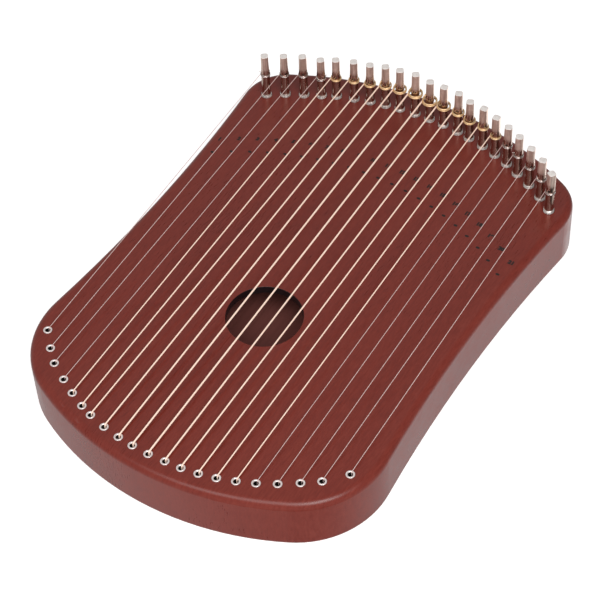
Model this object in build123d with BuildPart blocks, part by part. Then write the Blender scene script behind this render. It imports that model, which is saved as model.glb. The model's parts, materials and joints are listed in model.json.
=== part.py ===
from build123d import *
import math
import os

# A 21-string lyre harp: a hollow waisted box with strings that rise from eyelets at
# the near end to tuning pins at the far end.
# Frame: origin at the centre of the back face, +X right, +Y towards the pins, +Z up.

# Body outline: one arc at each end, four corner arcs and two hollow sides
BODY_LENGTH = 391.4
TOP_ARC_R = 253.7
TOP_CORNER_R = 34.8
TOP_CORNER_X = 99.7
BOTTOM_ARC_R = 215.0
BOTTOM_CORNER_R = 65.7
BOTTOM_CORNER_X = 67.1
SIDE_ARC_R = 1201.7

# Box build
BODY_DEPTH = 42.0
BACK_T = 4.0
SOUNDBOARD_T = 6.0
RIM_WALL = 6.0
TOP_EDGE_R = 5.5
BACK_EDGE_R = 3.0
CAVITY_TOP = BODY_DEPTH - SOUNDBOARD_T
SOUND_HOLE_R = 26.5
SOUND_HOLE_Y = -48.0
SOUND_HOLE_EDGE_R = 0.6
SAME_RADIUS = 0.01
BLOCK_MARGIN = 26.0
HITCH_BLOCK_END_Y = -92.0
BRACE_W = 8.0
SOUNDBOARD_BRACE_H = 10.0
BACK_BRACE_H = 8.0
SOUNDBOARD_BRACES = {"upper": 86.0, "middle": 18.0, "lower": -87.0}
BACK_BRACES = {"upper": 60.0, "lower": -80.0}

# Strings, counted from the left
STRING_COUNT = 21
MIDDLE_STRING = 11
WOUND_STRINGS = range(5, 17)
PLAIN_D = 0.46
WOUND_D_MIDDLE = 1.35
WOUND_D_EDGE = 0.85
WOUND_MIDDLE = 10.5
PLAIN_TURNS = 4
WOUND_TURNS = 2
TURN_GAP = 0.03
# How far the turns of the stiffest wound strings stand off their pins
TURN_SLACK = {7: 0.15, 8: 0.3, 9: 0.75, 10: 1.0, 11: 1.2, 12: 0.9, 13: 0.35, 14: 0.35}

# Tuning pins, on an arc, a few bored slightly off it
PIN_X = 1.3
PIN_SPACING = 11.85
PIN_ARC_R = 200.5
PIN_ARC_TOP_Y = 174.9
PIN_DRIFT = {1: (0.0, 0.9), 2: (0.0, 0.4), 3: (0.6, 0.0), 4: (0.6, 0.0), 5: (-1.1, 0.0), 9: (-0.7, 0.0),
             13: (0.8, 0.0), 14: (-0.7, 0.0), 18: (-0.5, 0.0), 20: (0.6, 0.0)}
PIN_HEIGHT = 37.6
PIN_DEPTH = 30.0
# How much further out than the plain height each pin stands
PIN_RISE = [1.2, 0.4, 0.5, -2.0, -1.3, -0.5, -0.9, 0.8, 0.9, 1.8, -0.4,
            0.2, 0.7, -1.2, 0.3, -0.4, -0.6, -0.4, -0.9, -0.4, -0.8]
THREAD_R = 3.85
THREAD_STANDS = 2.7
THREAD_EDGE = 0.5
PIN_FOOT_EDGE = 1.0
BORE_SPARE = 3.5
BORE_GAP = 0.05
BORE_R = THREAD_R + BORE_GAP
SOUNDBOARD_BORE_GAP = 0.25
SOUNDBOARD_BORE_R = THREAD_R + SOUNDBOARD_BORE_GAP
SHANK_R = 3.2
HEAD_SIDES = 4
HEAD_HALF_TOP = 2.75
HEAD_HALF_LOW = 2.85
FLATS_RUN_OUT = 24.0
FLATS_LOW = 27.8
RUN_OUT_REACH = 0.05
PIN_TOP_EDGE = 0.25
STRING_HOLE_R = 0.95
STRING_HOLE_HEIGHT = 22.3
# Where each head and each cross hole came to rest when its string was in tune, in degrees
HEAD_TURNS = [35, 34.7, 42, 38, 36, 33, 31.8, 37, 30.7, 34, 29.5,
              7, 20, 27.8, 1, 5, 26, 20, 14, 13, 59]
HOLE_TURNS = [40, 145, 124, 33, 110, 113, 111, 135, 121, 106, 119,
              81, 103, 128, 138, 70, 100, 45, 128, 25, 92]

# String eyelets, on an arc, some drilled a little off the even spacing
EYELET_X = -1.2
EYELET_SPACING = 12.0
EYELET_ARC_R = 163.0
EYELET_ARC_LOW_Y = -184.6
EYELET_DRIFT = {1: (1.7, -1.0), 2: (0.9, -1.1), 3: (-1.0, -0.6), 4: (0.6, -0.6), 5: (0.4, -0.4),
                6: (0.2, -0.5), 7: (-2.4, 0.4), 8: (-1.1, 0.2), 9: (-0.3, 0.5), 10: (-0.6, 0.9),
                11: (0.1, 0.9), 12: (0.6, 1.2), 13: (0.4, 0.7), 14: (0.4, 0.4), 15: (0.2, 0.2),
                16: (0.2, 0.2), 20: (-1.0, -1.6), 21: (-0.5, 0.3)}
EYELET_HOLE_R = 1.7
EYELET_BARREL_R = 2.5
EYELET_RIM_R = 3.1
EYELET_LIP = 0.8
EYELET_RIM_EDGE = 0.4
EYELET_DEPTH = 8.0
PRESS_ALLOWANCE = 0.02

# Back ferrules and the ball ends seated in them
CHANNEL_R = 1.6
FERRULE_R = 3.2
FERRULE_BOTTOM = 0.3
FERRULE_TOP = 7.0
FERRULE_POCKET_R = 2.3
FERRULE_SEAT_Z = 5.2
FERRULE_THROAT_R = 1.2
BALL_R = 2.1
BALL_H = 3.2
BALL_WAIST_R = 1.6
STRING_CLEARANCE = 0.05


def pin_point(number):
    """Centre of a tuning pin."""
    x = (number - MIDDLE_STRING) * PIN_SPACING
    y = PIN_ARC_TOP_Y - PIN_ARC_R + math.sqrt(PIN_ARC_R**2 - x**2)
    drift_x, drift_y = PIN_DRIFT.get(number, (0.0, 0.0))
    return (PIN_X + x + drift_x, y + drift_y)


def eyelet_point(number):
    """Centre of a string eyelet."""
    x = (number - MIDDLE_STRING) * EYELET_SPACING
    y = EYELET_ARC_LOW_Y + EYELET_ARC_R - math.sqrt(EYELET_ARC_R**2 - x**2)
    drift_x, drift_y = EYELET_DRIFT.get(number, (0.0, 0.0))
    return (EYELET_X + x + drift_x, y + drift_y)


def string_diameter(number):
    """Thickest wound string in the middle, thinner ones towards the plain strings."""
    if number not in WOUND_STRINGS:
        return PLAIN_D
    share = abs(number - WOUND_MIDDLE) / (WOUND_MIDDLE - WOUND_STRINGS[0])
    return WOUND_D_MIDDLE + (WOUND_D_EDGE - WOUND_D_MIDDLE) * share


def turn_count(number):
    """Turns of the string on its pin."""
    return WOUND_TURNS if number in WOUND_STRINGS else PLAIN_TURNS


def turn_height(number, turn):
    """Height of a turn above the soundboard, turn 0 just under the cross hole."""
    hole_height = STRING_HOLE_HEIGHT + PIN_RISE[number - 1]
    return hole_height - STRING_HOLE_R - (turn + 0.5) * (string_diameter(number) + TURN_GAP)


def toward(centre, target, distance):
    """The point at a distance from centre on the way to target."""
    dx = target[0] - centre[0]
    dy = target[1] - centre[1]
    reach = math.hypot(dx, dy)
    return (centre[0] + dx * distance / reach, centre[1] + dy * distance / reach)


def tangent_point(point, centre, radius, side):
    """Where a line from point touches a circle, on its left (1) or right (-1) as the line runs."""
    distance = math.dist(point, centre)
    heading = math.atan2(centre[1] - point[1], centre[0] - point[0])
    heading += side * math.asin(radius / distance)
    length = math.sqrt(distance**2 - radius**2)
    return (point[0] + length * math.cos(heading), point[1] + length * math.sin(heading))


# Centres of the outline's arcs, each tangent to the next
top_centre = (0.0, BODY_LENGTH / 2 - TOP_ARC_R)
bottom_centre = (0.0, BOTTOM_ARC_R - BODY_LENGTH / 2)
top_corner_rise = math.sqrt((TOP_ARC_R - TOP_CORNER_R) ** 2 - TOP_CORNER_X**2)
bottom_corner_drop = math.sqrt((BOTTOM_ARC_R - BOTTOM_CORNER_R) ** 2 - BOTTOM_CORNER_X**2)
top_corner = (TOP_CORNER_X, top_centre[1] + top_corner_rise)
bottom_corner = (BOTTOM_CORNER_X, bottom_centre[1] - bottom_corner_drop)
corner_gap = math.dist(top_corner, bottom_corner)
reach_top = SIDE_ARC_R + TOP_CORNER_R
reach_bottom = SIDE_ARC_R + BOTTOM_CORNER_R
along = (corner_gap**2 + reach_bottom**2 - reach_top**2) / (2 * corner_gap)
across = math.sqrt(reach_bottom**2 - along**2)
foot = toward(bottom_corner, top_corner, along)
slope_x = (top_corner[0] - bottom_corner[0]) / corner_gap
slope_y = (top_corner[1] - bottom_corner[1]) / corner_gap
side_centre = (foot[0] + across * slope_y, foot[1] - across * slope_x)


def body_outline(inset):
    """The body's outline, moved inwards."""
    top_r = TOP_ARC_R - inset
    bottom_r = BOTTOM_ARC_R - inset
    top_join = toward(top_centre, top_corner, top_r)
    bottom_join = toward(bottom_centre, bottom_corner, bottom_r)
    top_side = toward(top_corner, side_centre, TOP_CORNER_R - inset)
    bottom_side = toward(bottom_corner, side_centre, BOTTOM_CORNER_R - inset)
    top_middle = (0.0, top_centre[1] + top_r)
    bottom_middle = (0.0, bottom_centre[1] - bottom_r)
    with BuildSketch() as outline:
        with BuildLine():
            RadiusArc(top_middle, top_join, top_r)
            RadiusArc(top_join, top_side, TOP_CORNER_R - inset)
            RadiusArc(top_side, bottom_side, -SIDE_ARC_R - inset)
            RadiusArc(bottom_side, bottom_join, BOTTOM_CORNER_R - inset)
            RadiusArc(bottom_join, bottom_middle, bottom_r)
            mirror(about=Plane.YZ)
        make_face()
    return outline.sketch


outer = body_outline(0.0)
cavity = body_outline(RIM_WALL)
pins = [pin_point(number) for number in range(1, STRING_COUNT + 1)]
eyelets = [eyelet_point(number) for number in range(1, STRING_COUNT + 1)]
written = []


def write(part, name):
    part.label = name
    export_step(part, f"parts/{name}.step")
    written.append(part)


os.makedirs("parts", exist_ok=True)

# Soundboard, rounded over along its outer edge
with BuildPart() as soundboard:
    with BuildSketch(Plane.XY.offset(CAVITY_TOP)):
        add(outer)
    extrude(amount=SOUNDBOARD_T)
    fillet(soundboard.faces().sort_by(Axis.Z)[-1].edges(), TOP_EDGE_R)
    with BuildSketch(Plane.XY.offset(CAVITY_TOP)):
        with Locations((0, SOUND_HOLE_Y)):
            Circle(SOUND_HOLE_R)
    extrude(amount=SOUNDBOARD_T, mode=Mode.SUBTRACT)
    hole_edges = soundboard.edges().filter_by(GeomType.CIRCLE)
    hole_edges = [edge for edge in hole_edges if abs(edge.radius - SOUND_HOLE_R) < SAME_RADIUS]
    fillet(ShapeList(hole_edges).sort_by(Axis.Z)[-1], SOUND_HOLE_EDGE_R)
    with BuildSketch(Plane.XY.offset(CAVITY_TOP)):
        with Locations(*pins):
            Circle(SOUNDBOARD_BORE_R)
        with Locations(*eyelets):
            Circle(EYELET_BARREL_R + PRESS_ALLOWANCE)
    extrude(amount=SOUNDBOARD_T, mode=Mode.SUBTRACT)
write(soundboard.part, "soundboard")

# Back plate
with BuildPart() as back_plate:
    with BuildSketch():
        add(outer)
    extrude(amount=BACK_T)
    fillet(back_plate.faces().sort_by(Axis.Z)[0].edges(), BACK_EDGE_R)
    with BuildSketch():
        with Locations(*eyelets):
            Circle(FERRULE_R + PRESS_ALLOWANCE)
    extrude(amount=BACK_T, mode=Mode.SUBTRACT)
write(back_plate.part, "back_plate")

# Rim between the two plates
with BuildPart() as side_rim:
    with BuildSketch(Plane.XY.offset(BACK_T)):
        add(outer)
        add(cavity, mode=Mode.SUBTRACT)
    extrude(amount=CAVITY_TOP - BACK_T)
write(side_rim.part, "side_rim")

# Hardwood block bored for the tuning pins
with BuildPart() as pin_block:
    with BuildSketch(Plane.XY.offset(BACK_T)):
        add(cavity)
        with Locations((PIN_X, PIN_ARC_TOP_Y - PIN_ARC_R)):
            Circle(PIN_ARC_R - BLOCK_MARGIN, mode=Mode.SUBTRACT)
    extrude(amount=CAVITY_TOP - BACK_T)
    with BuildSketch(Plane.XY.offset(BODY_DEPTH - PIN_DEPTH - BORE_SPARE)):
        with Locations(*pins):
            Circle(BORE_R)
    extrude(amount=PIN_DEPTH, mode=Mode.SUBTRACT)
write(pin_block.part, "pin_block")

# Hardwood block that the strings pull on, with a stepped channel for each string
with BuildPart() as hitch_block:
    with BuildSketch(Plane.XY.offset(BACK_T)):
        add(cavity)
        with Locations((0, HITCH_BLOCK_END_Y)):
            Rectangle(BODY_LENGTH, BODY_LENGTH, align=(Align.CENTER, Align.MIN), mode=Mode.SUBTRACT)
        with Locations((EYELET_X, EYELET_ARC_LOW_Y + EYELET_ARC_R)):
            Circle(EYELET_ARC_R - BLOCK_MARGIN, mode=Mode.SUBTRACT)
    extrude(amount=CAVITY_TOP - BACK_T)
    with BuildSketch(Plane.XY.offset(BACK_T)):
        with Locations(*eyelets):
            Circle(CHANNEL_R)
    extrude(amount=CAVITY_TOP - BACK_T, mode=Mode.SUBTRACT)
    with BuildSketch(Plane.XY.offset(BACK_T)):
        with Locations(*eyelets):
            Circle(FERRULE_R + PRESS_ALLOWANCE)
    extrude(amount=FERRULE_TOP - BACK_T, mode=Mode.SUBTRACT)
    with BuildSketch(Plane.XY.offset(BODY_DEPTH - EYELET_DEPTH)):
        with Locations(*eyelets):
            Circle(EYELET_BARREL_R + PRESS_ALLOWANCE)
    extrude(amount=EYELET_DEPTH, mode=Mode.SUBTRACT)
write(hitch_block.part, "hitch_block")


def make_brace(y, bottom, height):
    """A bar from wall to wall of the cavity."""
    with BuildPart() as brace:
        with BuildSketch(Plane.XY.offset(bottom)):
            with Locations((0, y)):
                Rectangle(BODY_LENGTH, BRACE_W)
            add(cavity, mode=Mode.INTERSECT)
        extrude(amount=height)
    return brace.part


for place, y in SOUNDBOARD_BRACES.items():
    write(make_brace(y, CAVITY_TOP - SOUNDBOARD_BRACE_H, SOUNDBOARD_BRACE_H), f"soundboard_brace_{place}")
for place, y in BACK_BRACES.items():
    write(make_brace(y, BACK_T, BACK_BRACE_H), f"back_brace_{place}")


def upright(point):
    """A plane through a vertical line, with its own X outwards and its own Y up."""
    return Plane(origin=(point[0], point[1], 0), x_dir=(1, 0, 0), z_dir=(0, -1, 0))


def axis_at(point):
    return Axis((point[0], point[1], 0), (0, 0, 1))


# Eyelets with a rolled rim that the strings bend over
with BuildPart() as string_eyelets:
    for point in eyelets:
        with BuildSketch(upright(point)):
            with BuildLine():
                inner_lip = RadiusArc(
                    (EYELET_HOLE_R, BODY_DEPTH),
                    (EYELET_HOLE_R + EYELET_LIP, BODY_DEPTH + EYELET_LIP),
                    EYELET_LIP,
                )
                flat = Line(inner_lip @ 1, (EYELET_RIM_R - EYELET_RIM_EDGE, BODY_DEPTH + EYELET_LIP))
                outer_lip = RadiusArc(
                    flat @ 1,
                    (EYELET_RIM_R, BODY_DEPTH + EYELET_LIP - EYELET_RIM_EDGE),
                    EYELET_RIM_EDGE,
                )
                Polyline(
                    outer_lip @ 1,
                    (EYELET_RIM_R, BODY_DEPTH),
                    (EYELET_BARREL_R, BODY_DEPTH),
                    (EYELET_BARREL_R, BODY_DEPTH - EYELET_DEPTH),
                    (EYELET_HOLE_R, BODY_DEPTH - EYELET_DEPTH),
                    inner_lip @ 0,
                )
            make_face()
        revolve(axis=axis_at(point))
write(string_eyelets.part, "string_eyelets")

# Cups in the back that the ball ends pull into
with BuildPart() as back_ferrules:
    for point in eyelets:
        with BuildSketch(upright(point)):
            with BuildLine():
                Polyline(
                    (FERRULE_POCKET_R, FERRULE_BOTTOM),
                    (FERRULE_R, FERRULE_BOTTOM),
                    (FERRULE_R, FERRULE_TOP),
                    (FERRULE_THROAT_R, FERRULE_TOP),
                    (FERRULE_THROAT_R, FERRULE_SEAT_Z),
                    (FERRULE_POCKET_R, FERRULE_SEAT_Z),
                    close=True,
                )
            make_face()
        revolve(axis=axis_at(point))
write(back_ferrules.part, "back_ferrules")

# Brass barrels with a waist, one on the end of each string
with BuildPart() as string_ball_ends:
    for point in eyelets:
        with BuildSketch(upright(point)):
            with BuildLine():
                Polyline((0, FERRULE_SEAT_Z - BALL_H), (BALL_R, FERRULE_SEAT_Z - BALL_H))
                ThreePointArc(
                    (BALL_R, FERRULE_SEAT_Z - BALL_H),
                    (BALL_WAIST_R, FERRULE_SEAT_Z - BALL_H / 2),
                    (BALL_R, FERRULE_SEAT_Z),
                )
                Polyline((BALL_R, FERRULE_SEAT_Z), (0, FERRULE_SEAT_Z), (0, FERRULE_SEAT_Z - BALL_H))
            make_face()
        revolve(axis=axis_at(point))
write(string_ball_ends.part, "string_ball_ends")


def make_strings(numbers):
    """Strings from their ball ends up through the eyelets and over to the left of their pins."""
    with BuildPart() as strings:
        for number in numbers:
            eyelet = eyelets[number - 1]
            pin = pins[number - 1]
            radius = string_diameter(number) / 2
            wrap_r = SHANK_R + STRING_CLEARANCE + TURN_SLACK.get(number, 0.0) + radius
            distance = math.dist(eyelet, pin)
            heading = math.atan2(pin[1] - eyelet[1], pin[0] - eyelet[0]) + math.asin(wrap_r / distance)
            forward = (math.cos(heading), math.sin(heading), 0)
            run_end = math.sqrt(distance**2 - wrap_r**2)
            # The string bends over the eyelet's lip, so both arcs share a centre
            bend_r = EYELET_LIP + STRING_CLEARANCE + radius
            lip = (EYELET_HOLE_R + EYELET_LIP, BODY_DEPTH)
            start = (0.0, FERRULE_SEAT_Z)
            end = (run_end, BODY_DEPTH + turn_height(number, turn_count(number)))
            bend_start = tangent_point(start, lip, bend_r, side=1)
            bend_end = tangent_point(end, lip, bend_r, side=-1)
            string_plane = Plane(
                origin=(eyelet[0], eyelet[1], 0),
                x_dir=forward,
                z_dir=(forward[1], -forward[0], 0),
            )
            with BuildLine(string_plane):
                rise = Line(start, bend_start)
                RadiusArc(bend_start, bend_end, bend_r)
                Line(bend_end, end)
            with BuildSketch(Plane(rise @ 0, z_dir=rise % 0)):
                Circle(radius)
            sweep()
    return strings.part


left_strings = range(1, WOUND_STRINGS[0])
right_strings = range(WOUND_STRINGS[-1] + 1, STRING_COUNT + 1)
write(make_strings(left_strings), "plain_strings_left")
write(make_strings(WOUND_STRINGS), "wound_strings")
write(make_strings(right_strings), "plain_strings_right")


def make_pin(number, point):
    """Tuning pin: threaded foot, round shank with a cross hole, square head with flats that run out."""
    rise = PIN_RISE[number - 1]
    top = BODY_DEPTH + PIN_HEIGHT + rise
    foot = BODY_DEPTH - PIN_DEPTH + rise
    thread_top = BODY_DEPTH + THREAD_STANDS
    run_out = BODY_DEPTH + FLATS_RUN_OUT + rise
    flats_low = BODY_DEPTH + FLATS_LOW + rise
    with BuildPart() as pin:
        with BuildSketch(upright(point)):
            with BuildLine():
                Polyline(
                    (0, foot),
                    (THREAD_R - PIN_FOOT_EDGE, foot),
                    (THREAD_R, foot + PIN_FOOT_EDGE),
                    (THREAD_R, thread_top - THREAD_EDGE),
                    (SHANK_R, thread_top),
                    (SHANK_R, top - PIN_TOP_EDGE),
                    (SHANK_R - PIN_TOP_EDGE, top),
                    (0, top),
                    close=True,
                )
            make_face()
        revolve(axis=axis_at(point))
        for side in range(HEAD_SIDES):
            facing = math.radians(HEAD_TURNS[number - 1]) + math.tau * side / HEAD_SIDES
            outwards = (math.cos(facing), math.sin(facing), 0)
            sideways = (math.sin(facing), -math.cos(facing), 0)
            with BuildSketch(Plane(origin=(point[0], point[1], 0), x_dir=outwards, z_dir=sideways)):
                with BuildLine():
                    flat = Line((HEAD_HALF_TOP, top), (HEAD_HALF_LOW, flats_low))
                    run = TangentArc(flat @ 1, (SHANK_R + RUN_OUT_REACH, run_out), tangent=flat % 1)
                    Polyline(run @ 1, (2 * SHANK_R, run_out), (2 * SHANK_R, top), flat @ 0)
                make_face()
            extrude(amount=SHANK_R, both=True, mode=Mode.SUBTRACT)
        hole_turn = math.radians(HOLE_TURNS[number - 1])
        across = (math.cos(hole_turn), math.sin(hole_turn), 0)
        hole_centre = (point[0], point[1], BODY_DEPTH + STRING_HOLE_HEIGHT + rise)
        with BuildSketch(Plane(origin=hole_centre, z_dir=across)):
            Circle(STRING_HOLE_R)
        extrude(amount=2 * SHANK_R, both=True, mode=Mode.SUBTRACT)
    return pin.part


def make_turns(number, point):
    """The string's turns on the pin, as closed rings."""
    radius = string_diameter(number) / 2
    with BuildPart() as turns:
        for turn in range(turn_count(number)):
            with Locations((point[0], point[1], BODY_DEPTH + turn_height(number, turn))):
                Torus(SHANK_R + TURN_GAP + TURN_SLACK.get(number, 0.0) + radius, radius)
    return turns.part


for number, point in enumerate(pins, start=1):
    write(make_pin(number, point), f"tuning_pin_{number:02d}")
    write(make_turns(number, point), f"string_turns_{number:02d}")

print(len(written), "parts written")
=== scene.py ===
import json
import math

import bmesh
import bpy
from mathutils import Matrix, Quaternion, Vector


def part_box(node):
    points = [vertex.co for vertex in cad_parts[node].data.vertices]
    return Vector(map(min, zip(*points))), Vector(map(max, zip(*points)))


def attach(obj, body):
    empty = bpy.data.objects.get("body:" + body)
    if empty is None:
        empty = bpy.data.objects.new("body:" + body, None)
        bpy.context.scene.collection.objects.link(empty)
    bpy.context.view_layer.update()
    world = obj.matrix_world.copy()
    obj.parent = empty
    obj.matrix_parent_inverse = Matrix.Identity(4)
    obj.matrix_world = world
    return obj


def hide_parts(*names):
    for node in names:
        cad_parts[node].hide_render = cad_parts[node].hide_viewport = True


# A 21-string lyre harp. The wooden box, eyelets, ferrules and ball ends are the CAD's own
# meshes with new materials; the pins, the strings and their turns are built here in detail.
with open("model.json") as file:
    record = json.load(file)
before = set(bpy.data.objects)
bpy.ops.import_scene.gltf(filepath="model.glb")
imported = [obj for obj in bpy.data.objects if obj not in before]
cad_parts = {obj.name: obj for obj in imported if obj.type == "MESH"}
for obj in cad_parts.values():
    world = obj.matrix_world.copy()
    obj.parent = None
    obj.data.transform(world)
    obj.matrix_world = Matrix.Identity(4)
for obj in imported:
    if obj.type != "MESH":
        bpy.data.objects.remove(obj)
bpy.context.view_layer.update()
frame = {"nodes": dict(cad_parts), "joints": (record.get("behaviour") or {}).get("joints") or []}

MM = 0.001
STRING_COUNT = 21
MIDDLE_STRING = 11
WOUND_STRINGS = range(5, 17)
PLAIN_D = 0.46 * MM
WOUND_D_MIDDLE = 1.35 * MM
WOUND_D_EDGE = 0.85 * MM
WOUND_MIDDLE = 10.5
TURN_GAP = 0.03 * MM
STRING_CLEARANCE = 0.05 * MM

# How far the turns of the stiffest wound strings stand off their pins
TURN_SLACK = {
    7: 0.15 * MM, 8: 0.30 * MM, 9: 0.75 * MM, 10: 1.00 * MM,
    11: 1.20 * MM, 12: 0.90 * MM, 13: 0.35 * MM, 14: 0.35 * MM,
}

# Heights come from the frame
BOARD_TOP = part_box("soundboard")[1].z
BALL_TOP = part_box("string_ball_ends")[1].z

# The string ends in a level ring round its pin, and the turns start just above that ring
PLAIN_TURNS = 4
WOUND_TURNS = 2
TUBE_SIDES = 12

# Pin details; heights are above the board for a pin at its plain height
PIN_HEIGHT = 37.6 * MM
SHANK_R = 3.2 * MM
THREAD_R = 3.85 * MM
THREAD_ROOT_R = 3.45 * MM
THREAD_PITCH = 0.9 * MM
THREAD_STANDS = 2.7 * MM
FLATS_RUN_OUT = 24.0 * MM
FLATS_LOW = 27.8 * MM
HEAD_HALF_TOP = 2.75 * MM
HEAD_HALF_LOW = 2.85 * MM
RUN_OUT_REACH = 3.25 * MM
HEAD_EDGE = 0.25 * MM
STRING_HOLE_R = 0.95 * MM
STRING_HOLE_HEIGHT = 22.3 * MM
DRILL_SIDES = 20
FOOT_EDGE = 1.0 * MM
FOOT_EDGE_DEPTH = 0.8 * MM
THREAD_SHOULDER = 0.35 * MM
# Shares of the shank, of the run-out and steps of the top edge at which the pin has a ring of points
SHANK_RINGS = (0.3, 0.6, 0.9)
RUN_OUT_RINGS = (0.0, 0.08, 0.11, 0.15, 0.20, 0.27, 0.36, 0.48, 0.62, 0.80, 1.0)
EDGE_STEPS = 3
FLAT_STEPS = 6
ROUND_STEPS = 6

# Thread: where it starts and stops, how it fades there, and its section in shares of the pitch
THREAD_STARTS = 1.2 * MM
THREAD_STOPS = 0.6 * MM
THREAD_STEPS = 28
THREAD_FADE = 1.5
THREAD_LEAST = 0.05
THREAD_SINK = 0.1 * MM
THREAD_HALF_ROOT = 0.42
THREAD_HALF_CREST = 0.10

# The shoulder above the thread is polished from this far below its top
SHOULDER_SHINES = 0.2 * MM

# Where the CAD pins are probed for the turn of their heads and cross holes
HEAD_PROBE_DEPTH = 0.8 * MM
HEAD_PROBE_R = 2.7 * MM
HOLE_PROBE_R = 2.9 * MM

# Sound hole
SOUND_HOLE_R = 26.5 * MM
SOUND_HOLE_Y = -48.0 * MM

# The squared share of the hole's radius where the painted shade of its wall fades and ends
HOLE_SHADE_FADES = 1.01
HOLE_SHADE_ENDS = 1.02

# How quickly one finish gives way to another at a height, and an eyelet's bright rim to the painted shade
# in its barrel
FINISH_FADES = 0.1 * MM
RIM_FADES = 0.4 * MM

# Eyelet details
EYELET_HOLE_R = 1.7 * MM
EYELET_LIP = 0.8 * MM

PIN_CENTRES = [Vector(joint["pos_m"][:2]) for joint in frame["joints"]]


# ---------------------------------------------------------------- camera
CAMERA_TARGET = Vector((0.0027, -0.0085, 0.021))
CAMERA_AZIMUTH = math.radians(34.372)
CAMERA_ELEVATION = math.radians(48.779)
CAMERA_ROLL = math.radians(-3.017)
CAMERA_DISTANCE = 1.3584
CAMERA_LENS = 117.32


def make_camera():
    back = Vector((
        math.sin(CAMERA_AZIMUTH) * math.cos(CAMERA_ELEVATION),
        -math.cos(CAMERA_AZIMUTH) * math.cos(CAMERA_ELEVATION),
        math.sin(CAMERA_ELEVATION),
    ))
    camera = bpy.data.objects.new("camera", bpy.data.cameras.new("camera"))
    bpy.context.scene.collection.objects.link(camera)
    camera.data.lens = CAMERA_LENS
    camera.location = CAMERA_TARGET + back * CAMERA_DISTANCE
    camera.rotation_mode = "QUATERNION"
    camera.rotation_quaternion = back.to_track_quat("Z", "Y") @ Quaternion((0, 0, 1), CAMERA_ROLL)
    bpy.context.scene.camera = camera
    bpy.context.scene.view_settings.view_transform = "Standard"


make_camera()


# ---------------------------------------------------------------- node helpers
class Nodes:
    """A material's node tree, with short calls for the nodes used here."""

    def __init__(self, name):
        self.material = bpy.data.materials.new(name)
        self.material.use_nodes = True
        self.tree = self.material.node_tree
        self.surface = self.tree.nodes["Principled BSDF"]
        self.coords = self.tree.nodes.new("ShaderNodeTexCoord")

    def link(self, output, target):
        self.tree.links.new(output, target)

    def set(self, **values):
        for name, value in values.items():
            self.surface.inputs[name.replace("_", " ")].default_value = value

    def mapping(self, scale, rotation=(0, 0, 0), source="Object"):
        node = self.tree.nodes.new("ShaderNodeMapping")
        node.inputs["Scale"].default_value = scale
        node.inputs["Rotation"].default_value = rotation
        self.link(self.coords.outputs[source], node.inputs["Vector"])
        return node.outputs["Vector"]

    def noise(self, vector, scale, detail=3.0, roughness=0.55, distortion=0.0):
        node = self.tree.nodes.new("ShaderNodeTexNoise")
        node.inputs["Scale"].default_value = scale
        node.inputs["Detail"].default_value = detail
        node.inputs["Roughness"].default_value = roughness
        node.inputs["Distortion"].default_value = distortion
        self.link(vector, node.inputs["Vector"])
        return node.outputs["Fac"]

    def wave(self, vector, scale, distortion=0.0):
        node = self.tree.nodes.new("ShaderNodeTexWave")
        node.inputs["Scale"].default_value = scale
        node.inputs["Distortion"].default_value = distortion
        self.link(vector, node.inputs["Vector"])
        return node.outputs["Fac"]

    def remap(self, value, low, high, to_low=0.0, to_high=1.0):
        node = self.tree.nodes.new("ShaderNodeMapRange")
        node.inputs["From Min"].default_value = low
        node.inputs["From Max"].default_value = high
        node.inputs["To Min"].default_value = to_low
        node.inputs["To Max"].default_value = to_high
        self.link(value, node.inputs["Value"])
        return node.outputs["Result"]

    def math(self, operation, first, second):
        node = self.tree.nodes.new("ShaderNodeMath")
        node.operation = operation
        self.link(first, node.inputs[0])
        if isinstance(second, (int, float)):
            node.inputs[1].default_value = second
        else:
            self.link(second, node.inputs[1])
        return node.outputs["Value"]

    def ramp(self, value, stops):
        node = self.tree.nodes.new("ShaderNodeValToRGB")
        elements = node.color_ramp.elements
        while len(elements) < len(stops):
            elements.new(0.5)
        for element, (position, colour) in zip(elements, stops):
            element.position = position
            element.color = (*colour, 1.0)
        self.link(value, node.inputs["Fac"])
        return node.outputs["Color"]

    def mix(self, factor, first, second, blend="MIX"):
        node = self.tree.nodes.new("ShaderNodeMix")
        node.data_type = "RGBA"
        node.blend_type = blend
        for value, target in ((factor, 0), (first, 6), (second, 7)):
            if isinstance(value, bpy.types.NodeSocket):
                self.link(value, node.inputs[target])
            elif isinstance(value, (int, float)):
                node.inputs[target].default_value = value
            else:
                node.inputs[target].default_value = (*value, 1.0)
        return node.outputs[2]

    def bump(self, height, strength, distance, normal=None):
        node = self.tree.nodes.new("ShaderNodeBump")
        node.inputs["Strength"].default_value = strength
        node.inputs["Distance"].default_value = distance
        self.link(height, node.inputs["Height"])
        if normal is not None:
            self.link(normal, node.inputs["Normal"])
        return node.outputs["Normal"]


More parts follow.
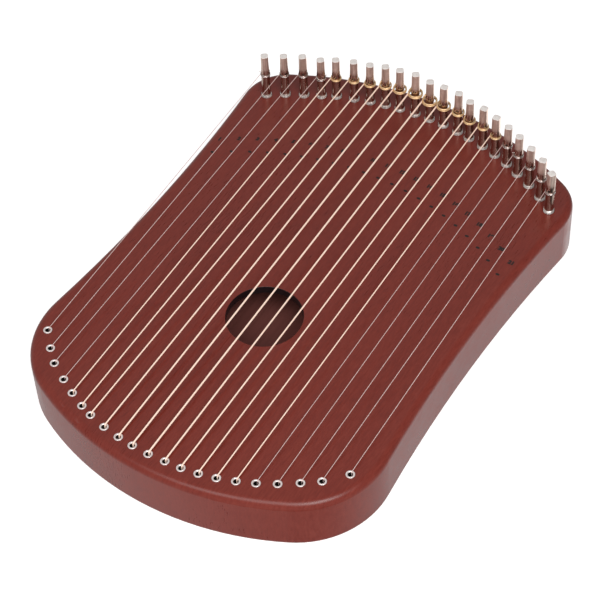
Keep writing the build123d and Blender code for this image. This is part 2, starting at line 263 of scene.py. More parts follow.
# ---------------------------------------------------------------- materials
def wood(name, dark, middle, light, gloss, grain_depth):
    """Wood with its grain along the body: growth bands, fine streaks and short open pores."""
    m = Nodes(name)
    bands = m.noise(m.mapping((1.0, 0.10, 0.35)), 55, 4, 0.55, 0.6)
    streaks = m.noise(m.mapping((1.0, 0.14, 0.20)), 850, 4, 0.65)
    cloud = m.noise(m.mapping((1.0, 0.6, 1.0)), 14, 3, 0.5)
    pores = m.noise(m.mapping((1.0, 0.16, 0.30)), 1700, 2, 0.5)
    tone = m.math("ADD", m.math("MULTIPLY", bands, 0.22), m.math("MULTIPLY", streaks, 0.58))
    tone = m.math("ADD", tone, m.math("MULTIPLY", cloud, 0.20))
    colour = m.ramp(tone, [(0.32, dark), (0.50, middle), (0.68, light)])
    pore_mask = m.remap(pores, 0.58, 0.68)
    colour = m.mix(m.math("MULTIPLY", pore_mask, 0.35), colour, dark)
    m.link(colour, m.surface.inputs["Base Color"])
    roughness = m.remap(m.math("ADD", streaks, cloud), 0.7, 1.3, gloss - 0.05, gloss + 0.08)
    m.link(roughness, m.surface.inputs["Roughness"])
    fine = m.bump(pore_mask, -grain_depth, 0.00006)
    m.link(m.bump(streaks, grain_depth, 0.00005, fine), m.surface.inputs["Normal"])
    return m


def mahogany(name):
    dark, middle, light = (0.118, 0.0140, 0.0085), (0.158, 0.0205, 0.0125), (0.190, 0.0290, 0.0180)
    m = wood(name, dark, middle, light, 0.30, 0.10)
    m.set(IOR=1.42)
    return m


def bare_inside(m, height):
    """The side of a plate that faces into the box is bare wood above a height."""
    split = m.tree.nodes.new("ShaderNodeSeparateXYZ")
    m.link(m.coords.outputs["Object"], split.inputs["Vector"])
    inside = m.remap(split.outputs["Z"], height - FINISH_FADES, height)
    finish = m.surface.inputs["Base Color"].links[0].from_socket
    bare = m.mix(m.noise(m.mapping((1.0, 0.05, 1.0)), 600, 4), (0.110, 0.036, 0.030), (0.190, 0.064, 0.054))
    m.link(m.mix(inside, finish, bare), m.surface.inputs["Base Color"])
    return m


def dark_hole(m):
    """The wall of the sound hole is painted nearly black with a faint mottle: painted shade inside the
    hole.
    """
    split = m.tree.nodes.new("ShaderNodeSeparateXYZ")
    m.link(m.coords.outputs["Object"], split.inputs["Vector"])
    across = m.math("DIVIDE", split.outputs["X"], SOUND_HOLE_R)
    along = m.math("DIVIDE", m.math("SUBTRACT", split.outputs["Y"], SOUND_HOLE_Y), SOUND_HOLE_R)
    reach = m.math("ADD", m.math("MULTIPLY", across, across), m.math("MULTIPLY", along, along))
    finish = m.surface.inputs["Base Color"].links[0].from_socket
    # Painted shade: a near-black colour on the hole's wall, where the hole lies in shade
    painted_hole_shade = m.mix(m.noise(m.mapping((1.0, 1.0, 0.2)), 700, 3), (0.008, 0.005, 0.006), (0.022, 0.011, 0.012))
    m.link(m.mix(m.remap(reach, HOLE_SHADE_ENDS, HOLE_SHADE_FADES), finish, painted_hole_shade), m.surface.inputs["Base Color"])
    return m


def block_hardwood():
    dark, middle, light = (0.30, 0.17, 0.09), (0.42, 0.26, 0.14), (0.52, 0.35, 0.20)
    return wood("block_hardwood", dark, middle, light, 0.55, 0.5)


def brace_wood():
    dark, middle, light = (0.42, 0.28, 0.15), (0.58, 0.42, 0.24), (0.68, 0.52, 0.33)
    return wood("brace_wood", dark, middle, light, 0.60, 0.5)


def metal(name, colour, dark, roughness, blotch_scale, shine=1.0):
    """Bare or plated metal with faint blotches, fine scratches and uneven polish."""
    m = Nodes(name)
    blotch = m.noise(m.mapping((1, 1, 1)), blotch_scale, 4, 0.6)
    scratches = m.noise(m.mapping((1.0, 1.0, 0.06)), 2600, 2, 0.5)
    m.link(m.ramp(blotch, [(0.30, dark), (0.62, colour)]), m.surface.inputs["Base Color"])
    rough = m.remap(m.math("ADD", blotch, scratches), 0.7, 1.3, roughness - 0.06, roughness + 0.08)
    m.link(rough, m.surface.inputs["Roughness"])
    m.link(m.bump(scratches, 0.06, 0.00001), m.surface.inputs["Normal"])
    m.set(Metallic=shine)
    return m


def pin_nickel():
    """Nickel plate, worn dull on the head by the tuning key; the shank is painted darker and the whole pin
    carries painted brown vertical streaks, a painted reflection of the dark board and the pins beside it.
    """
    m = metal("pin_nickel", (0.84, 0.67, 0.58), (0.70, 0.54, 0.46), 0.20, 300)
    split = m.tree.nodes.new("ShaderNodeSeparateXYZ")
    m.link(m.coords.outputs["Object"], split.inputs["Vector"])
    head = m.remap(split.outputs["Z"], BOARD_TOP + FLATS_RUN_OUT, BOARD_TOP + FLATS_LOW)
    m.link(m.remap(head, 0.0, 1.0, 1.0, 0.72), m.surface.inputs["Metallic"])
    # Painted reflection: vertical brown streaks standing for the dark board and neighbouring pins mirrored
    # in the plate
    streaks = m.remap(m.noise(m.mapping((1.0, 1.0, 0.05)), 650, 3, 0.5), 0.40, 0.60, 0.45, 1.0)
    plate = m.surface.inputs["Base Color"].links[0].from_socket
    # Painted shade: the shank's plate is multiplied darker, standing for the dark board between the pins
    # mirrored in it
    shank = m.mix(1.0, plate, (0.62, 0.58, 0.56), "MULTIPLY")
    painted_reflection_colour = m.mix(streaks, (0.40, 0.27, 0.22), m.mix(head, shank, plate))
    m.link(painted_reflection_colour, m.surface.inputs["Base Color"])
    polish = m.surface.inputs["Roughness"].links[0].from_socket
    m.link(m.math("ADD", polish, m.math("MULTIPLY", head, 0.14)), m.surface.inputs["Roughness"])
    return m


def eyelet_nickel():
    """Bright rolled rims; below the board's top the barrels are painted nearly black, as painted shade
    inside their holes.
    """
    m = metal("eyelet_nickel", (0.88, 0.79, 0.77), (0.74, 0.64, 0.61), 0.30, 420, shine=0.55)
    split = m.tree.nodes.new("ShaderNodeSeparateXYZ")
    m.link(m.coords.outputs["Object"], split.inputs["Vector"])
    rim = m.remap(split.outputs["Z"], BOARD_TOP, BOARD_TOP + RIM_FADES)
    plate = m.surface.inputs["Base Color"].links[0].from_socket
    # Painted shade: below the board's top the barrel is painted near black, the shade inside its hole
    m.link(m.mix(rim, (0.015, 0.012, 0.011), plate), m.surface.inputs["Base Color"])
    return m


def winding(name, colour, dark, edge, roughness, pitch, shine):
    """Round wire wound on a core, painted darker towards its sides as seen, a painted reflection of the
    dark wood; the UV runs along the string in millimetres.
    """
    m = Nodes(name)
    turns = m.wave(m.mapping((1, 1, 1), source="UV"), math.tau / 20 / pitch, 0.0)
    blotch = m.noise(m.mapping((1, 1, 1)), 700, 3, 0.6)
    base = m.ramp(blotch, [(0.30, dark), (0.62, colour)])
    worn = m.mix(m.remap(turns, 0.0, 0.45, 0.30, 0.0), base, dark)
    # Painted reflection: the edge colour darkens the wire towards its sides as seen, standing for the dark
    # wood mirrored there
    painted_side_shade = m.tree.nodes.new("ShaderNodeLayerWeight")
    m.link(m.mix(m.remap(painted_side_shade.outputs["Facing"], 0.45, 0.95), worn, edge), m.surface.inputs["Base Color"])
    m.link(m.remap(blotch, 0.3, 0.7, roughness - 0.05, roughness + 0.07), m.surface.inputs["Roughness"])
    m.link(m.bump(turns, 0.15, 0.00005), m.surface.inputs["Normal"])
    m.set(Metallic=shine)
    return m


def burnt_wood():
    dark, middle, light = (0.006, 0.004, 0.004), (0.010, 0.006, 0.005), (0.018, 0.009, 0.008)
    return wood("burnt_wood", dark, middle, light, 0.70, 0.5)


MATERIALS = {
    "mahogany": mahogany("mahogany").material,
    "board_mahogany": dark_hole(mahogany("board_mahogany")).material,
    "back_mahogany": bare_inside(mahogany("back_mahogany"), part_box("back_plate")[1].z).material,
    "block_hardwood": block_hardwood().material,
    "brace_wood": brace_wood().material,
    "nickel": metal("nickel", (0.88, 0.79, 0.77), (0.74, 0.64, 0.61), 0.30, 420, shine=0.55).material,
    "eyelet_nickel": eyelet_nickel().material,
    "pin_nickel": pin_nickel().material,
    "pin_thread": metal(
        "pin_thread", (0.95, 0.90, 0.86), (0.42, 0.38, 0.36), 0.28, 900, shine=0.8
    ).material,
    "pin_end": metal(
        "pin_end", (0.90, 0.84, 0.80), (0.76, 0.70, 0.66), 0.34, 500, shine=0.35
    ).material,
    "burnt_wood": burnt_wood().material,
    # plain_wire and plain_coil are one wire in two tones: the paler, less metallic plain_wire on the
    # straight run is painted light, a painted sheen
    "plain_wire": metal(
        "plain_wire", (0.95, 0.72, 0.68), (0.74, 0.53, 0.49), 0.34, 500, shine=0.45
    ).material,
    "plain_coil": metal(
        "plain_coil", (0.74, 0.64, 0.60), (0.34, 0.27, 0.25), 0.22, 900, shine=0.95
    ).material,
    # The third colour of each winding is the painted reflection of the dark wood at the wire's sides
    "bronze_winding": winding(
        "bronze_winding", (1.0, 0.73, 0.43), (0.70, 0.43, 0.20), (0.50, 0.28, 0.11), 0.36, 0.3, 0.65
    ).material,
    # bronze_run is bronze_winding painted paler and almost without metal: painted light on the straight run
    "bronze_run": winding(
        "bronze_run", (1.0, 0.79, 0.67), (1.0, 0.70, 0.55), (0.66, 0.34, 0.16), 0.40, 0.3, 0.05
    ).material,
    "brass": metal("brass", (0.85, 0.62, 0.25), (0.50, 0.33, 0.11), 0.25, 400).material,
}
NODE_SLOTS = {
    "soundboard": "board_mahogany",
    "side_rim": "mahogany",
    "back_plate": "back_mahogany",
    "pin_block": "block_hardwood",
    "hitch_block": "block_hardwood",
    "string_eyelets": "eyelet_nickel",
    "back_ferrules": "nickel",
    "string_ball_ends": "brass",
}
NODE_SLOTS.update({node: "brace_wood" for node in frame["nodes"] if "brace" in node})
for node, slot in NODE_SLOTS.items():
    frame["nodes"][node].data.materials.clear()
    frame["nodes"][node].data.materials.append(MATERIALS[slot])


# ---------------------------------------------------------------- mesh helpers
def add_piece(name, mesh, slot, body, *nodes):
    """Links a mesh as a piece of the object that stands for the CAD nodes given."""
    piece = bpy.data.objects.new(name, mesh)
    bpy.context.scene.collection.objects.link(piece)
    mesh.materials.append(MATERIALS[slot])
    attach(piece, body)
    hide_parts(*nodes)
    return piece


def smooth(mesh, angle=35):
    mesh.shade_smooth()
    mesh.set_sharp_from_angle(angle=math.radians(angle))


def tube_mesh(name, points, radii):
    """A closed round tube through points, with UV along its length in millimetres."""
    sides = TUBE_SIDES
    count = len(points)
    tangents = [(points[min(i + 1, count - 1)] - points[max(i - 1, 0)]).normalized() for i in range(count)]
    across = tangents[0].orthogonal().normalized()
    vertices = []
    lengths = [0.0]
    for i, point in enumerate(points):
        across = (across - tangents[i] * across.dot(tangents[i])).normalized()
        other = tangents[i].cross(across)
        for k in range(sides):
            turn = math.tau * k / sides
            vertices.append(point + (across * math.cos(turn) + other * math.sin(turn)) * radii[i])
        if i:
            lengths.append(lengths[-1] + (point - points[i - 1]).length)
    faces = []
    coordinates = []
    for i in range(count - 1):
        for k in range(sides):
            n = (k + 1) % sides
            faces.append((i * sides + k, i * sides + n, (i + 1) * sides + n, (i + 1) * sides + k))
            low, high = lengths[i] / MM, lengths[i + 1] / MM
            left, right = k / sides, (k + 1) / sides
            coordinates += [(low, left), (low, right), (high, right), (high, left)]
    faces.append(tuple(range(sides))[::-1])
    faces.append(tuple(range((count - 1) * sides, count * sides)))
    coordinates += [(0.0, 0.0)] * sides + [(lengths[-1] / MM, 0.0)] * sides
    mesh = bpy.data.meshes.new(name)
    mesh.from_pydata(vertices, [], faces)
    layer = mesh.uv_layers.new(name="along")
    layer.data.foreach_set("uv", [value for pair in coordinates for value in pair])
    smooth(mesh, 50)
    return mesh


def islands(node):
    """The separate bits of a CAD node's mesh, each as a list of points."""
    work = bmesh.new()
    work.from_mesh(frame["nodes"][node].data)
    bmesh.ops.remove_doubles(work, verts=work.verts, dist=1e-6)
    left = set(work.verts)
    found = []
    while left:
        stack = [left.pop()]
        bit = []
        while stack:
            vertex = stack.pop()
            bit.append(vertex.co.copy())
            for edge in vertex.link_edges:
                other = edge.other_vert(vertex)
                if other in left:
                    left.remove(other)
                    stack.append(other)
        found.append(bit)
    work.free()
    return found


def middle(points):
    """Middle of the box round some points."""
    low = Vector(map(min, zip(*points)))
    high = Vector(map(max, zip(*points)))
    return (low + high) / 2


EYELET_CENTRES = sorted((middle(bit).xy for bit in islands("string_eyelets")), key=lambda point: point.x)


def phase(node, centre, low, high, inner, folds):
    """Direction in which a pin's points between two heights repeat folds times a turn."""
    total = complex(0, 0)
    for vertex in frame["nodes"][node].data.vertices:
        offset = vertex.co.xy - centre
        if low <= vertex.co.z <= high and offset.length >= inner:
            angle = math.atan2(offset.y, offset.x) * folds
            total += complex(math.cos(angle), math.sin(angle))
    return math.atan2(total.imag, total.real) / folds


def string_diameter(number):
    """Thickest wound string in the middle, thinner ones towards the plain strings."""
    if number not in WOUND_STRINGS:
        return PLAIN_D
    share = abs(number - WOUND_MIDDLE) / (WOUND_MIDDLE - WOUND_STRINGS[0])
    return WOUND_D_MIDDLE + (WOUND_D_EDGE - WOUND_D_MIDDLE) * share


def turn_count(number):
    return WOUND_TURNS if number in WOUND_STRINGS else PLAIN_TURNS


def pin_rise(number):
    """How much further out than the plain height a pin stands."""
    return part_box(f"tuning_pin_{number:02d}")[1].z - PIN_HEIGHT - BOARD_TOP


def hole_height(number):
    """Height of a pin's cross hole."""
    return BOARD_TOP + STRING_HOLE_HEIGHT + pin_rise(number)


def turn_height(number, turn):
    """Height of a turn's centre, turn 0 just under the cross hole."""
    step = string_diameter(number) + TURN_GAP
    return hole_height(number) - STRING_HOLE_R - (turn + 0.5) * step


# ---------------------------------------------------------------- tuning pins
def half_flat(height):
    """Half the width across the head's flats, which run out on an arc tangent to them."""
    slope = (HEAD_HALF_LOW - HEAD_HALF_TOP) / (PIN_HEIGHT - FLATS_LOW)
    if height >= FLATS_LOW:
        return HEAD_HALF_LOW - slope * (height - FLATS_LOW)
    if height <= FLATS_RUN_OUT:
        return SHANK_R
    out = Vector((1.0, slope)).normalized()
    chord = Vector((RUN_OUT_REACH - HEAD_HALF_LOW, FLATS_RUN_OUT - FLATS_LOW))
    radius = chord.length_squared / (2 * chord.dot(out))
    centre = Vector((HEAD_HALF_LOW, FLATS_LOW)) + out * radius
    return centre.x - math.sqrt(radius**2 - (height - centre.y) ** 2)


def pin_section(height, turn):
    """Outline of the shank or head at a height above the board, as radii by angle."""
    flat = min(SHANK_R * 0.9999, half_flat(height))
    reach = math.acos(flat / SHANK_R)
    section = []
    for side in range(4):
        facing = turn + side * math.pi / 2
        for i in range(FLAT_STEPS):
            swing = -reach + 2 * reach * i / FLAT_STEPS
            section.append((facing + swing, flat / math.cos(swing)))
        for i in range(ROUND_STEPS):
            swing = reach + (math.pi / 2 - 2 * reach) * i / ROUND_STEPS
            section.append((facing + swing, SHANK_R))
    return section


def lathe(work, rings):
    """Joins rings of points, bottom to top, into one closed skin."""
    rows = [[work.verts.new(point) for point in ring] for ring in rings]
    count = len(rows[0])
    for low, high in zip(rows, rows[1:]):
        for k in range(count):
            n = (k + 1) % count
            work.faces.new((low[k], low[n], high[n], high[k]))
    work.faces.new(rows[0][::-1])
    work.faces.new(rows[-1])


def shank_mesh(number, centre, turn, hole_turn):
    """Core, round shank and square head, with the cross hole cut through."""
    board = BOARD_TOP + pin_rise(number)
    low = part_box(f"tuning_pin_{number:02d}")[0]
    rings = []

    def ring(height, shrink=0.0, round_to=None):
        points = []
        for angle, radius in pin_section(height, turn):
            radius = (round_to or radius) - shrink
            points.append(Vector((
                centre.x + radius * math.cos(angle),
                centre.y + radius * math.sin(angle),
                board + height,
            )))
        rings.append(points)

    foot = low.z - board
    thread_top = BOARD_TOP + THREAD_STANDS - board
    ring(foot, round_to=THREAD_ROOT_R - FOOT_EDGE_DEPTH)
    ring(foot + FOOT_EDGE, round_to=THREAD_ROOT_R)
    ring(thread_top - THREAD_SHOULDER, round_to=THREAD_ROOT_R)
    ring(thread_top)
    for share in SHANK_RINGS:
        ring(thread_top + (FLATS_RUN_OUT - thread_top) * share)
    for share in RUN_OUT_RINGS:
        ring(FLATS_RUN_OUT + (FLATS_LOW - FLATS_RUN_OUT) * share)
    for step in range(EDGE_STEPS + 1):
        swing = step * math.pi / 6
        ring(PIN_HEIGHT - HEAD_EDGE * (1 - math.sin(swing)), shrink=HEAD_EDGE * (1 - math.cos(swing)))
    work = bmesh.new()
    lathe(work, rings)
    mesh = bpy.data.meshes.new("shank")
    work.to_mesh(mesh)
    work.free()
    body = bpy.data.objects.new("shank", mesh)
    bpy.context.scene.collection.objects.link(body)
    work = bmesh.new()
    bmesh.ops.create_cone(
        work,
        segments=DRILL_SIDES,
        cap_ends=True,
        radius1=STRING_HOLE_R,
        radius2=STRING_HOLE_R,
        depth=4 * SHANK_R,
    )
    drill_mesh = bpy.data.meshes.new("drill")
    work.to_mesh(drill_mesh)
    work.free()
    drill = bpy.data.objects.new("drill", drill_mesh)
    bpy.context.scene.collection.objects.link(drill)
    drill.location = (centre.x, centre.y, hole_height(number))
    drill.rotation_euler = (0, math.pi / 2, hole_turn)
    cut = body.modifiers.new("hole", "BOOLEAN")
    cut.object = drill
    cut.operation = "DIFFERENCE"
    cut.solver = "EXACT"
    bpy.context.view_layer.update()
    result = bpy.data.meshes.new_from_object(body.evaluated_get(bpy.context.evaluated_depsgraph_get()))
    bpy.data.objects.remove(body)
    bpy.data.objects.remove(drill)
    return result


def thread_points(number, centre):
    """The thread's ridge as rings of four points, fading in and out at its ends."""
    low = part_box(f"tuning_pin_{number:02d}")[0].z + THREAD_STARTS
    high = BOARD_TOP + THREAD_STANDS - THREAD_STOPS
    turns = (high - low) / THREAD_PITCH
    steps = int(turns * THREAD_STEPS)
    rings = []
    for i in range(steps + 1):
        share = i / steps
        angle = math.tau * turns * share
        fade = min(1.0, share * turns * THREAD_FADE, (1 - share) * turns * THREAD_FADE)
        crest = THREAD_ROOT_R + (THREAD_R - THREAD_ROOT_R) * max(fade, THREAD_LEAST)
        root = THREAD_ROOT_R - THREAD_SINK
        z = low + (high - low) * share
        out = Vector((math.cos(angle), math.sin(angle), 0))
        base = Vector((centre.x, centre.y, z))
        rings.append([
            base + out * root + Vector((0, 0, -THREAD_HALF_ROOT * THREAD_PITCH)),
            base + out * crest + Vector((0, 0, -THREAD_HALF_CREST * THREAD_PITCH)),
            base + out * crest + Vector((0, 0, THREAD_HALF_CREST * THREAD_PITCH)),
            base + out * root + Vector((0, 0, THREAD_HALF_ROOT * THREAD_PITCH)),
        ])
    return rings


def make_pin(number):
    """One tuning pin in place of its CAD node; returns the direction of its cross hole."""
    node = f"tuning_pin_{number:02d}"
    centre = PIN_CENTRES[number - 1]
    pin_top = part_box(node)[1].z
    turn = phase(node, centre, pin_top - HEAD_PROBE_DEPTH, pin_top, HEAD_PROBE_R, 4) + math.pi / 4
    hole_z = hole_height(number)
    hole_turn = phase(node, centre, hole_z - STRING_HOLE_R, hole_z + STRING_HOLE_R, HOLE_PROBE_R, 2)
    mesh = shank_mesh(number, centre, turn, hole_turn)
    work = bmesh.new()
    work.from_mesh(mesh)
    lathe(work, thread_points(number, centre))
    bmesh.ops.recalc_face_normals(work, faces=work.faces)
    work.to_mesh(mesh)
    work.free()
    smooth(mesh, 30)
    mesh.name = f"pin_{number:02d}"
    add_piece(f"pin_steel_{number:02d}", mesh, "nickel", f"pin_{number:02d}", node)
    mesh.materials[0] = MATERIALS["pin_nickel"]
    mesh.materials.append(MATERIALS["pin_thread"])
    mesh.materials.append(MATERIALS["pin_end"])
    thread_top = BOARD_TOP + THREAD_STANDS
    for face in mesh.polygons:
        if face.center.z < thread_top - SHOULDER_SHINES:
            face.material_index = 1
        elif face.center.z > pin_top - HEAD_EDGE:
            face.material_index = 2
    return hole_turn


# ---------------------------------------------------------------- strings
# Distance from the pin beyond which a string takes the paler copy of its wire, a painted sheen of the light
# on the straight run
RUN_ENDS = 9 * MM
BEND_STEPS = 8
RING_STEPS = 40


def tangent_point(point, centre, radius, side):
    """Where a line from point touches a circle, on its left (1) or right (-1)."""
    distance = (centre - point).length
    heading = math.atan2(centre.y - point.y, centre.x - point.x) + side * math.asin(radius / distance)
    length = math.sqrt(distance**2 - radius**2)
    return point + Vector((math.cos(heading), math.sin(heading))) * length


def ring_points(centre, radius, start, height):
    """Points on a level ring, run clockwise from an angle back to itself."""
    points = []
    for i in range(RING_STEPS + 1):
        angle = start - math.tau * i / RING_STEPS
        points.append(Vector((
            centre.x + radius * math.cos(angle),
            centre.y + radius * math.sin(angle),
            height,
        )))
    return points


def make_string(number, nodes):
    """From the ball end up through the eyelet, over to the pin and once round it."""
    eyelet = EYELET_CENTRES[number - 1]
    pin = PIN_CENTRES[number - 1]
    radius = string_diameter(number) / 2
    wrap_r = SHANK_R + STRING_CLEARANCE + TURN_SLACK.get(number, 0.0) + radius
    distance = (pin - eyelet).length
    heading = math.atan2(pin.y - eyelet.y, pin.x - eyelet.x) + math.asin(wrap_r / distance)
    run_end = math.sqrt(distance**2 - wrap_r**2)
    bend_r = EYELET_LIP + STRING_CLEARANCE + radius
    lip = Vector((EYELET_HOLE_R + EYELET_LIP, BOARD_TOP))
    start = Vector((0.0, BALL_TOP))
    end = Vector((run_end, turn_height(number, turn_count(number))))
    bend_start = tangent_point(start, lip, bend_r, 1)
    bend_end = tangent_point(end, lip, bend_r, -1)
    first = math.atan2(bend_start.y - lip.y, bend_start.x - lip.x)
    last = math.atan2(bend_end.y - lip.y, bend_end.x - lip.x)
    profile = [start]
    for i in range(BEND_STEPS + 1):
        angle = first + ((last - first + math.pi) % math.tau - math.pi) * i / BEND_STEPS
        profile.append(lip + Vector((math.cos(angle), math.sin(angle))) * bend_r)
    profile.append(end)
    points = [
        Vector((eyelet.x + x * math.cos(heading), eyelet.y + x * math.sin(heading), z)) for x, z in profile
    ]
    touch = heading + math.pi / 2
    points += ring_points(pin, wrap_r, touch, end.y)[1:]
    slot = "bronze_winding" if number in WOUND_STRINGS else "plain_wire"
    mesh = tube_mesh(f"string_{number:02d}", points, [radius] * len(points))
    add_piece(f"string_{number:02d}", mesh, slot, "soundbox", *nodes)
    if number in WOUND_STRINGS:
        mesh.materials.append(MATERIALS["bronze_run"])
    else:
        mesh.materials[0] = MATERIALS["plain_coil"]
        mesh.materials.append(MATERIALS["plain_wire"])
    # Painted light: beyond RUN_ENDS from the pin the string takes the paler run copy of its wire
    for face in mesh.polygons:
        face.material_index = 1 if (face.center.xy - pin).length > RUN_ENDS else 0


# Each turn is level and steps up to the next over this last part of it
JOG = math.radians(60)
COIL_START = math.radians(140)
COIL_STEP = math.radians(9)
# The last turn stops where it meets the cross hole, at most this much short of a whole turn
LEAST_REST = math.radians(-75)
# Over this much of the coil the wire climbs to the cross hole
LEAD = math.radians(70)
ENTRY_STEPS = 6
ENTRY_DEPTH = 0.55
CORE_R = 0.3 * MM
# Shares of the shank's radius past its axis where the wire thins to its core
CORE_REACH = (0.5, 0.95)
TAIL_LENGTH = 1.5 * MM
TAIL_ASIDE = 0.4 * MM
TAIL_RISE = 0.3 * MM


def make_coil(number, hole_turn):
    """The turns wound on the pin, then the lead into the cross hole and the cut tail."""
    pin = PIN_CENTRES[number - 1]
    radius = string_diameter(number) / 2
    coil_r = SHANK_R + TURN_GAP + TURN_SLACK.get(number, 0.0) + radius
    pitch = 2 * radius + TURN_GAP
    turns = turn_count(number) - 1
    hole_z = hole_height(number)
    rest = (COIL_START - hole_turn - LEAST_REST) % math.pi + LEAST_REST
    total = math.tau * turns + rest
    bottom = turn_height(number, turn_count(number) - 1)
    points = []
    steps = int(total / COIL_STEP)
    for i in range(steps + 1):
        swept = total * i / steps
        angle = COIL_START - swept
        whole = int(swept / math.tau)
        jog = max(0.0, (swept % math.tau - (math.tau - JOG)) / JOG)
        z = bottom + pitch * (whole + jog * jog * (3 - 2 * jog))
        points.append(Vector((pin.x + coil_r * math.cos(angle), pin.y + coil_r * math.sin(angle), z)))
    lift = hole_z - points[-1].z
    lead = int(steps * LEAD / total)
    for i in range(lead + 1):
        share = i / lead
        points[steps - lead + i].z += lift * share * share * (3 - 2 * share)
    end_angle = COIL_START - total
    inward = -Vector((math.cos(end_angle), math.sin(end_angle), 0))
    sideways = Vector((math.sin(end_angle), -math.cos(end_angle), 0))
    base = Vector((pin.x, pin.y, hole_z))
    corner = base - inward * coil_r + sideways * radius
    points.pop()
    inner = base - inward * SHANK_R * ENTRY_DEPTH
    start = points[-1]
    for i in range(1, ENTRY_STEPS + 1):
        share = i / ENTRY_STEPS
        points.append(start * (1 - share) ** 2 + corner * 2 * share * (1 - share) + inner * share**2)
    radii = [radius] * len(points)
    core = min(radius, CORE_R)
    for reach, size in ((0.0, radius), (CORE_REACH[0], core), (CORE_REACH[1], core)):
        points.append(base + inward * SHANK_R * reach)
        radii.append(size)
    tip = base + inward * (SHANK_R + TAIL_LENGTH) - sideways * TAIL_ASIDE + Vector((0, 0, TAIL_RISE))
    points.append(tip)
    radii.append(core)
    slot = "bronze_winding" if number in WOUND_STRINGS else "plain_wire"
    mesh = tube_mesh(f"turns_{number:02d}", points, radii)
    add_piece(f"turns_{number:02d}", mesh, slot, f"pin_{number:02d}", f"string_turns_{number:02d}")
    if number not in WOUND_STRINGS:
        mesh.materials[0] = MATERIALS["plain_coil"]


def string_nodes(number):
    if number in WOUND_STRINGS:
        return ["wound_strings"]
    return ["plain_strings_left"] if number < WOUND_STRINGS[0] else ["plain_strings_right"]


for number in range(1, STRING_COUNT + 1):
    hole_turn = make_pin(number)
    make_string(number, string_nodes(number))
    make_coil(number, hole_turn)


# ---------------------------------------------------------------- string numbers
NUMBER_X = -0.4 * MM
NUMBER_SPACING = 12.1 * MM
NUMBER_BELOW_PIN = 57.5 * MM
NUMBER_SIZE = 4.4 * MM
NUMBER_WEIGHT = 0.36 * MM
DASH_X = -0.5 * MM
DASH_SPACING = 11.8 * MM
DASH_BELOW_PIN = 71.5 * MM
DASH_LENGTH = 3.0 * MM
DASH_WIDTH = 1.8 * MM
DASH_END_STEPS = 8
BURN_LOW = -0.02 * MM
BURN_HIGH = 0.02 * MM


def number_mesh(text, size):
    """A number as a thin flat solid about its own middle."""
    curve = bpy.data.curves.new("number", "FONT")
    curve.body = text
    curve.size = size
    curve.align_x = "CENTER"
    curve.align_y = "CENTER"
    curve.resolution_u = 2
    curve.offset = NUMBER_WEIGHT
    curve.extrude = (BURN_HIGH - BURN_LOW) / 2
    holder = bpy.data.objects.new("number", curve)
    bpy.context.scene.collection.objects.link(holder)
    bpy.context.view_layer.update()
    mesh = bpy.data.meshes.new_from_object(holder.evaluated_get(bpy.context.evaluated_depsgraph_get()))
    bpy.data.objects.remove(holder)
    return mesh


def dash_outline():
    """Corners of a short round-ended dash, anticlockwise."""
    reach = (DASH_LENGTH - DASH_WIDTH) / 2
    corners = []
    for end in (1, -1):
        for i in range(DASH_END_STEPS + 1):
            angle = math.pi * (i / DASH_END_STEPS - 0.5)
            across, along = math.cos(angle) * DASH_WIDTH / 2, math.sin(angle) * DASH_WIDTH / 2
            corners.append((end * (reach + across), end * along))
    return corners


def make_burns():
    """A plain string number burnt beside each string, with a short dash nearer the sound hole."""
    vertices = []
    faces = []

    def stamp(points, loops, place):
        start = len(vertices)
        vertices.extend(Vector(point) + place for point in points)
        faces.extend(tuple(start + index for index in loop) for loop in loops)

    outline = dash_outline()
    count = len(outline)
    dash_points = [(x, y, BURN_LOW) for x, y in outline] + [(x, y, BURN_HIGH) for x, y in outline]
    dash_loops = [tuple(range(count))[::-1], tuple(range(count, 2 * count))]
    dash_loops += [(k, (k + 1) % count, (k + 1) % count + count, k + count) for k in range(count)]
    for number in range(1, STRING_COUNT + 1):
        step = number - MIDDLE_STRING
        pin = PIN_CENTRES[number - 1]
        mesh = number_mesh(str(number), NUMBER_SIZE)
        place = Vector((NUMBER_X + step * NUMBER_SPACING, pin.y - NUMBER_BELOW_PIN, BOARD_TOP))
        stamp([vertex.co for vertex in mesh.vertices], [face.vertices for face in mesh.polygons], place)
        place = Vector((DASH_X + step * DASH_SPACING, pin.y - DASH_BELOW_PIN, BOARD_TOP))
        stamp(dash_points, dash_loops, place)
    mesh = bpy.data.meshes.new("string_numbers")
    mesh.from_pydata(vertices, [], faces)
    piece = bpy.data.objects.new("string_numbers", mesh)
    bpy.context.scene.collection.objects.link(piece)
    mesh.materials.append(MATERIALS["burnt_wood"])
    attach(piece, "soundbox")


make_burns()


# ---------------------------------------------------------------- floor and light
FLOOR_REACH = 6.0
FLOOR_GLOW = 0.45


def make_floor():
    """A plain white floor that glows a little and isn't mirrored in the metal."""
    size = FLOOR_REACH
    mesh = bpy.data.meshes.new("floor")
    corners = [(-size, -size, 0), (size, -size, 0), (size, size, 0), (-size, size, 0)]
    mesh.from_pydata(corners, [], [(0, 1, 2, 3)])
    floor = bpy.data.objects.new("floor", mesh)
    bpy.context.scene.collection.objects.link(floor)
    m = Nodes("floor")
    m.set(Base_Color=(0.95, 0.95, 0.95, 1.0), Roughness=1.0, Specular_IOR_Level=0.0)
    m.set(Emission_Color=(1.0, 1.0, 1.0, 1.0), Emission_Strength=FLOOR_GLOW)
    mesh.materials.append(m.material)
    floor.visible_glossy = False


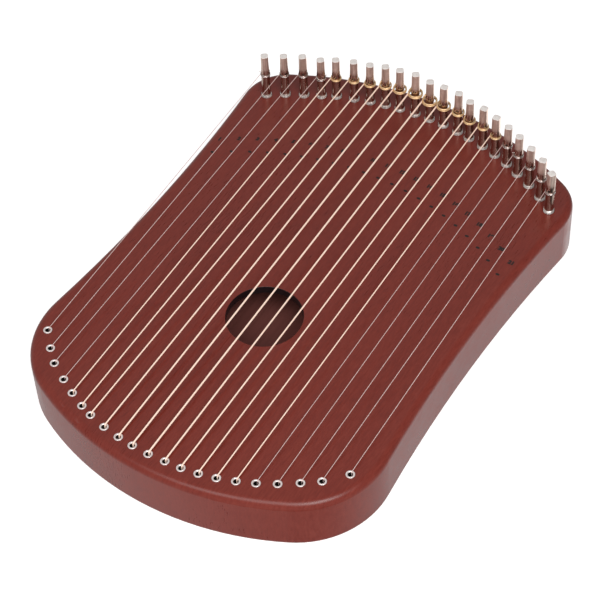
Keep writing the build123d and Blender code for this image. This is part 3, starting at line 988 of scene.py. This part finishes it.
def make_area_light(name, direction, distance, width, depth, power):
    """A soft box that faces the middle of the object, its width along X."""
    light = bpy.data.lights.new(name, "AREA")
    light.shape = "RECTANGLE"
    light.size = width
    light.size_y = depth
    light.energy = power
    holder = bpy.data.objects.new(name, light)
    bpy.context.scene.collection.objects.link(holder)
    aim = Vector(direction).normalized()
    holder.location = aim * distance
    holder.rotation_mode = "QUATERNION"
    holder.rotation_quaternion = aim.to_track_quat("Z", "Y")


# Brightness of the floor's glow below the horizon: middle, gain along X, gain along Y
BELOW = (1.25, -1.20, 1.45)
BELOW_MOST = 0.80
# What the glow gains behind the right side
BELOW_RIGHT = 1.8
# The least brightness of the glow
BELOW_LEAST = 0.02
# Heights between which the glow gives way to the sky
GLOW_LINE = (-0.58, -0.28)
# Brightness of the sky in front, what it gains behind, and what it gains more at the far right
SKY_FRONT = 0.40
SKY_BEHIND = 0.14
SKY_RIGHT = -0.25


def make_world():
    """A white studio: a sky that is dimmer at the far right, and the floor's glow below the horizon."""
    world = bpy.data.worlds.new("studio")
    world.use_nodes = True
    tree = world.node_tree
    bpy.context.scene.world = world
    coords = tree.nodes.new("ShaderNodeTexCoord")
    split = tree.nodes.new("ShaderNodeSeparateXYZ")
    tree.links.new(coords.outputs["Generated"], split.inputs["Vector"])

    def combine(operation, *values):
        node = tree.nodes.new("ShaderNodeMath")
        node.operation = operation
        for value, target in zip(values, node.inputs):
            if isinstance(value, float):
                target.default_value = value
            else:
                tree.links.new(value, target)
        return node.outputs["Value"]

    def step(value, low, high):
        node = tree.nodes.new("ShaderNodeMapRange")
        node.interpolation_type = "SMOOTHSTEP"
        node.inputs["From Min"].default_value = low
        node.inputs["From Max"].default_value = high
        tree.links.new(value, node.inputs["Value"])
        return node.outputs["Result"]

    middle, along_x, along_y = BELOW
    below = combine("MULTIPLY_ADD", split.outputs["X"], along_x, middle)
    below = combine("MAXIMUM", combine("MULTIPLY_ADD", split.outputs["Y"], along_y, below), BELOW_LEAST)
    below = combine("MINIMUM", below, BELOW_MOST)
    far_right = combine(
        "MULTIPLY", step(split.outputs["X"], 0.0, 0.30), step(split.outputs["Y"], 0.54, 0.70)
    )
    below = combine("MULTIPLY_ADD", far_right, BELOW_RIGHT, below)
    behind = step(split.outputs["Y"], -0.30, 0.50)
    right = combine("MULTIPLY", behind, step(split.outputs["X"], -0.35, 0.15))
    sky = combine("MULTIPLY_ADD", behind, SKY_BEHIND, SKY_FRONT)
    sky = combine("MULTIPLY_ADD", right, SKY_RIGHT, sky)
    blend = tree.nodes.new("ShaderNodeMix")
    tree.links.new(step(split.outputs["Z"], *GLOW_LINE), blend.inputs["Factor"])
    tree.links.new(below, blend.inputs["A"])
    tree.links.new(sky, blend.inputs["B"])
    background = tree.nodes["Background"]
    background.inputs["Color"].default_value = (1.0, 1.0, 1.0, 1.0)
    tree.links.new(blend.outputs["Result"], background.inputs["Strength"])


make_floor()
make_world()
make_area_light("key", (0.12, -0.58, 0.80), distance=1.8, width=1.6, depth=0.90, power=15.0)
make_area_light("corner", (0.56, -0.38, 0.74), distance=1.8, width=0.7, depth=0.75, power=14.0)
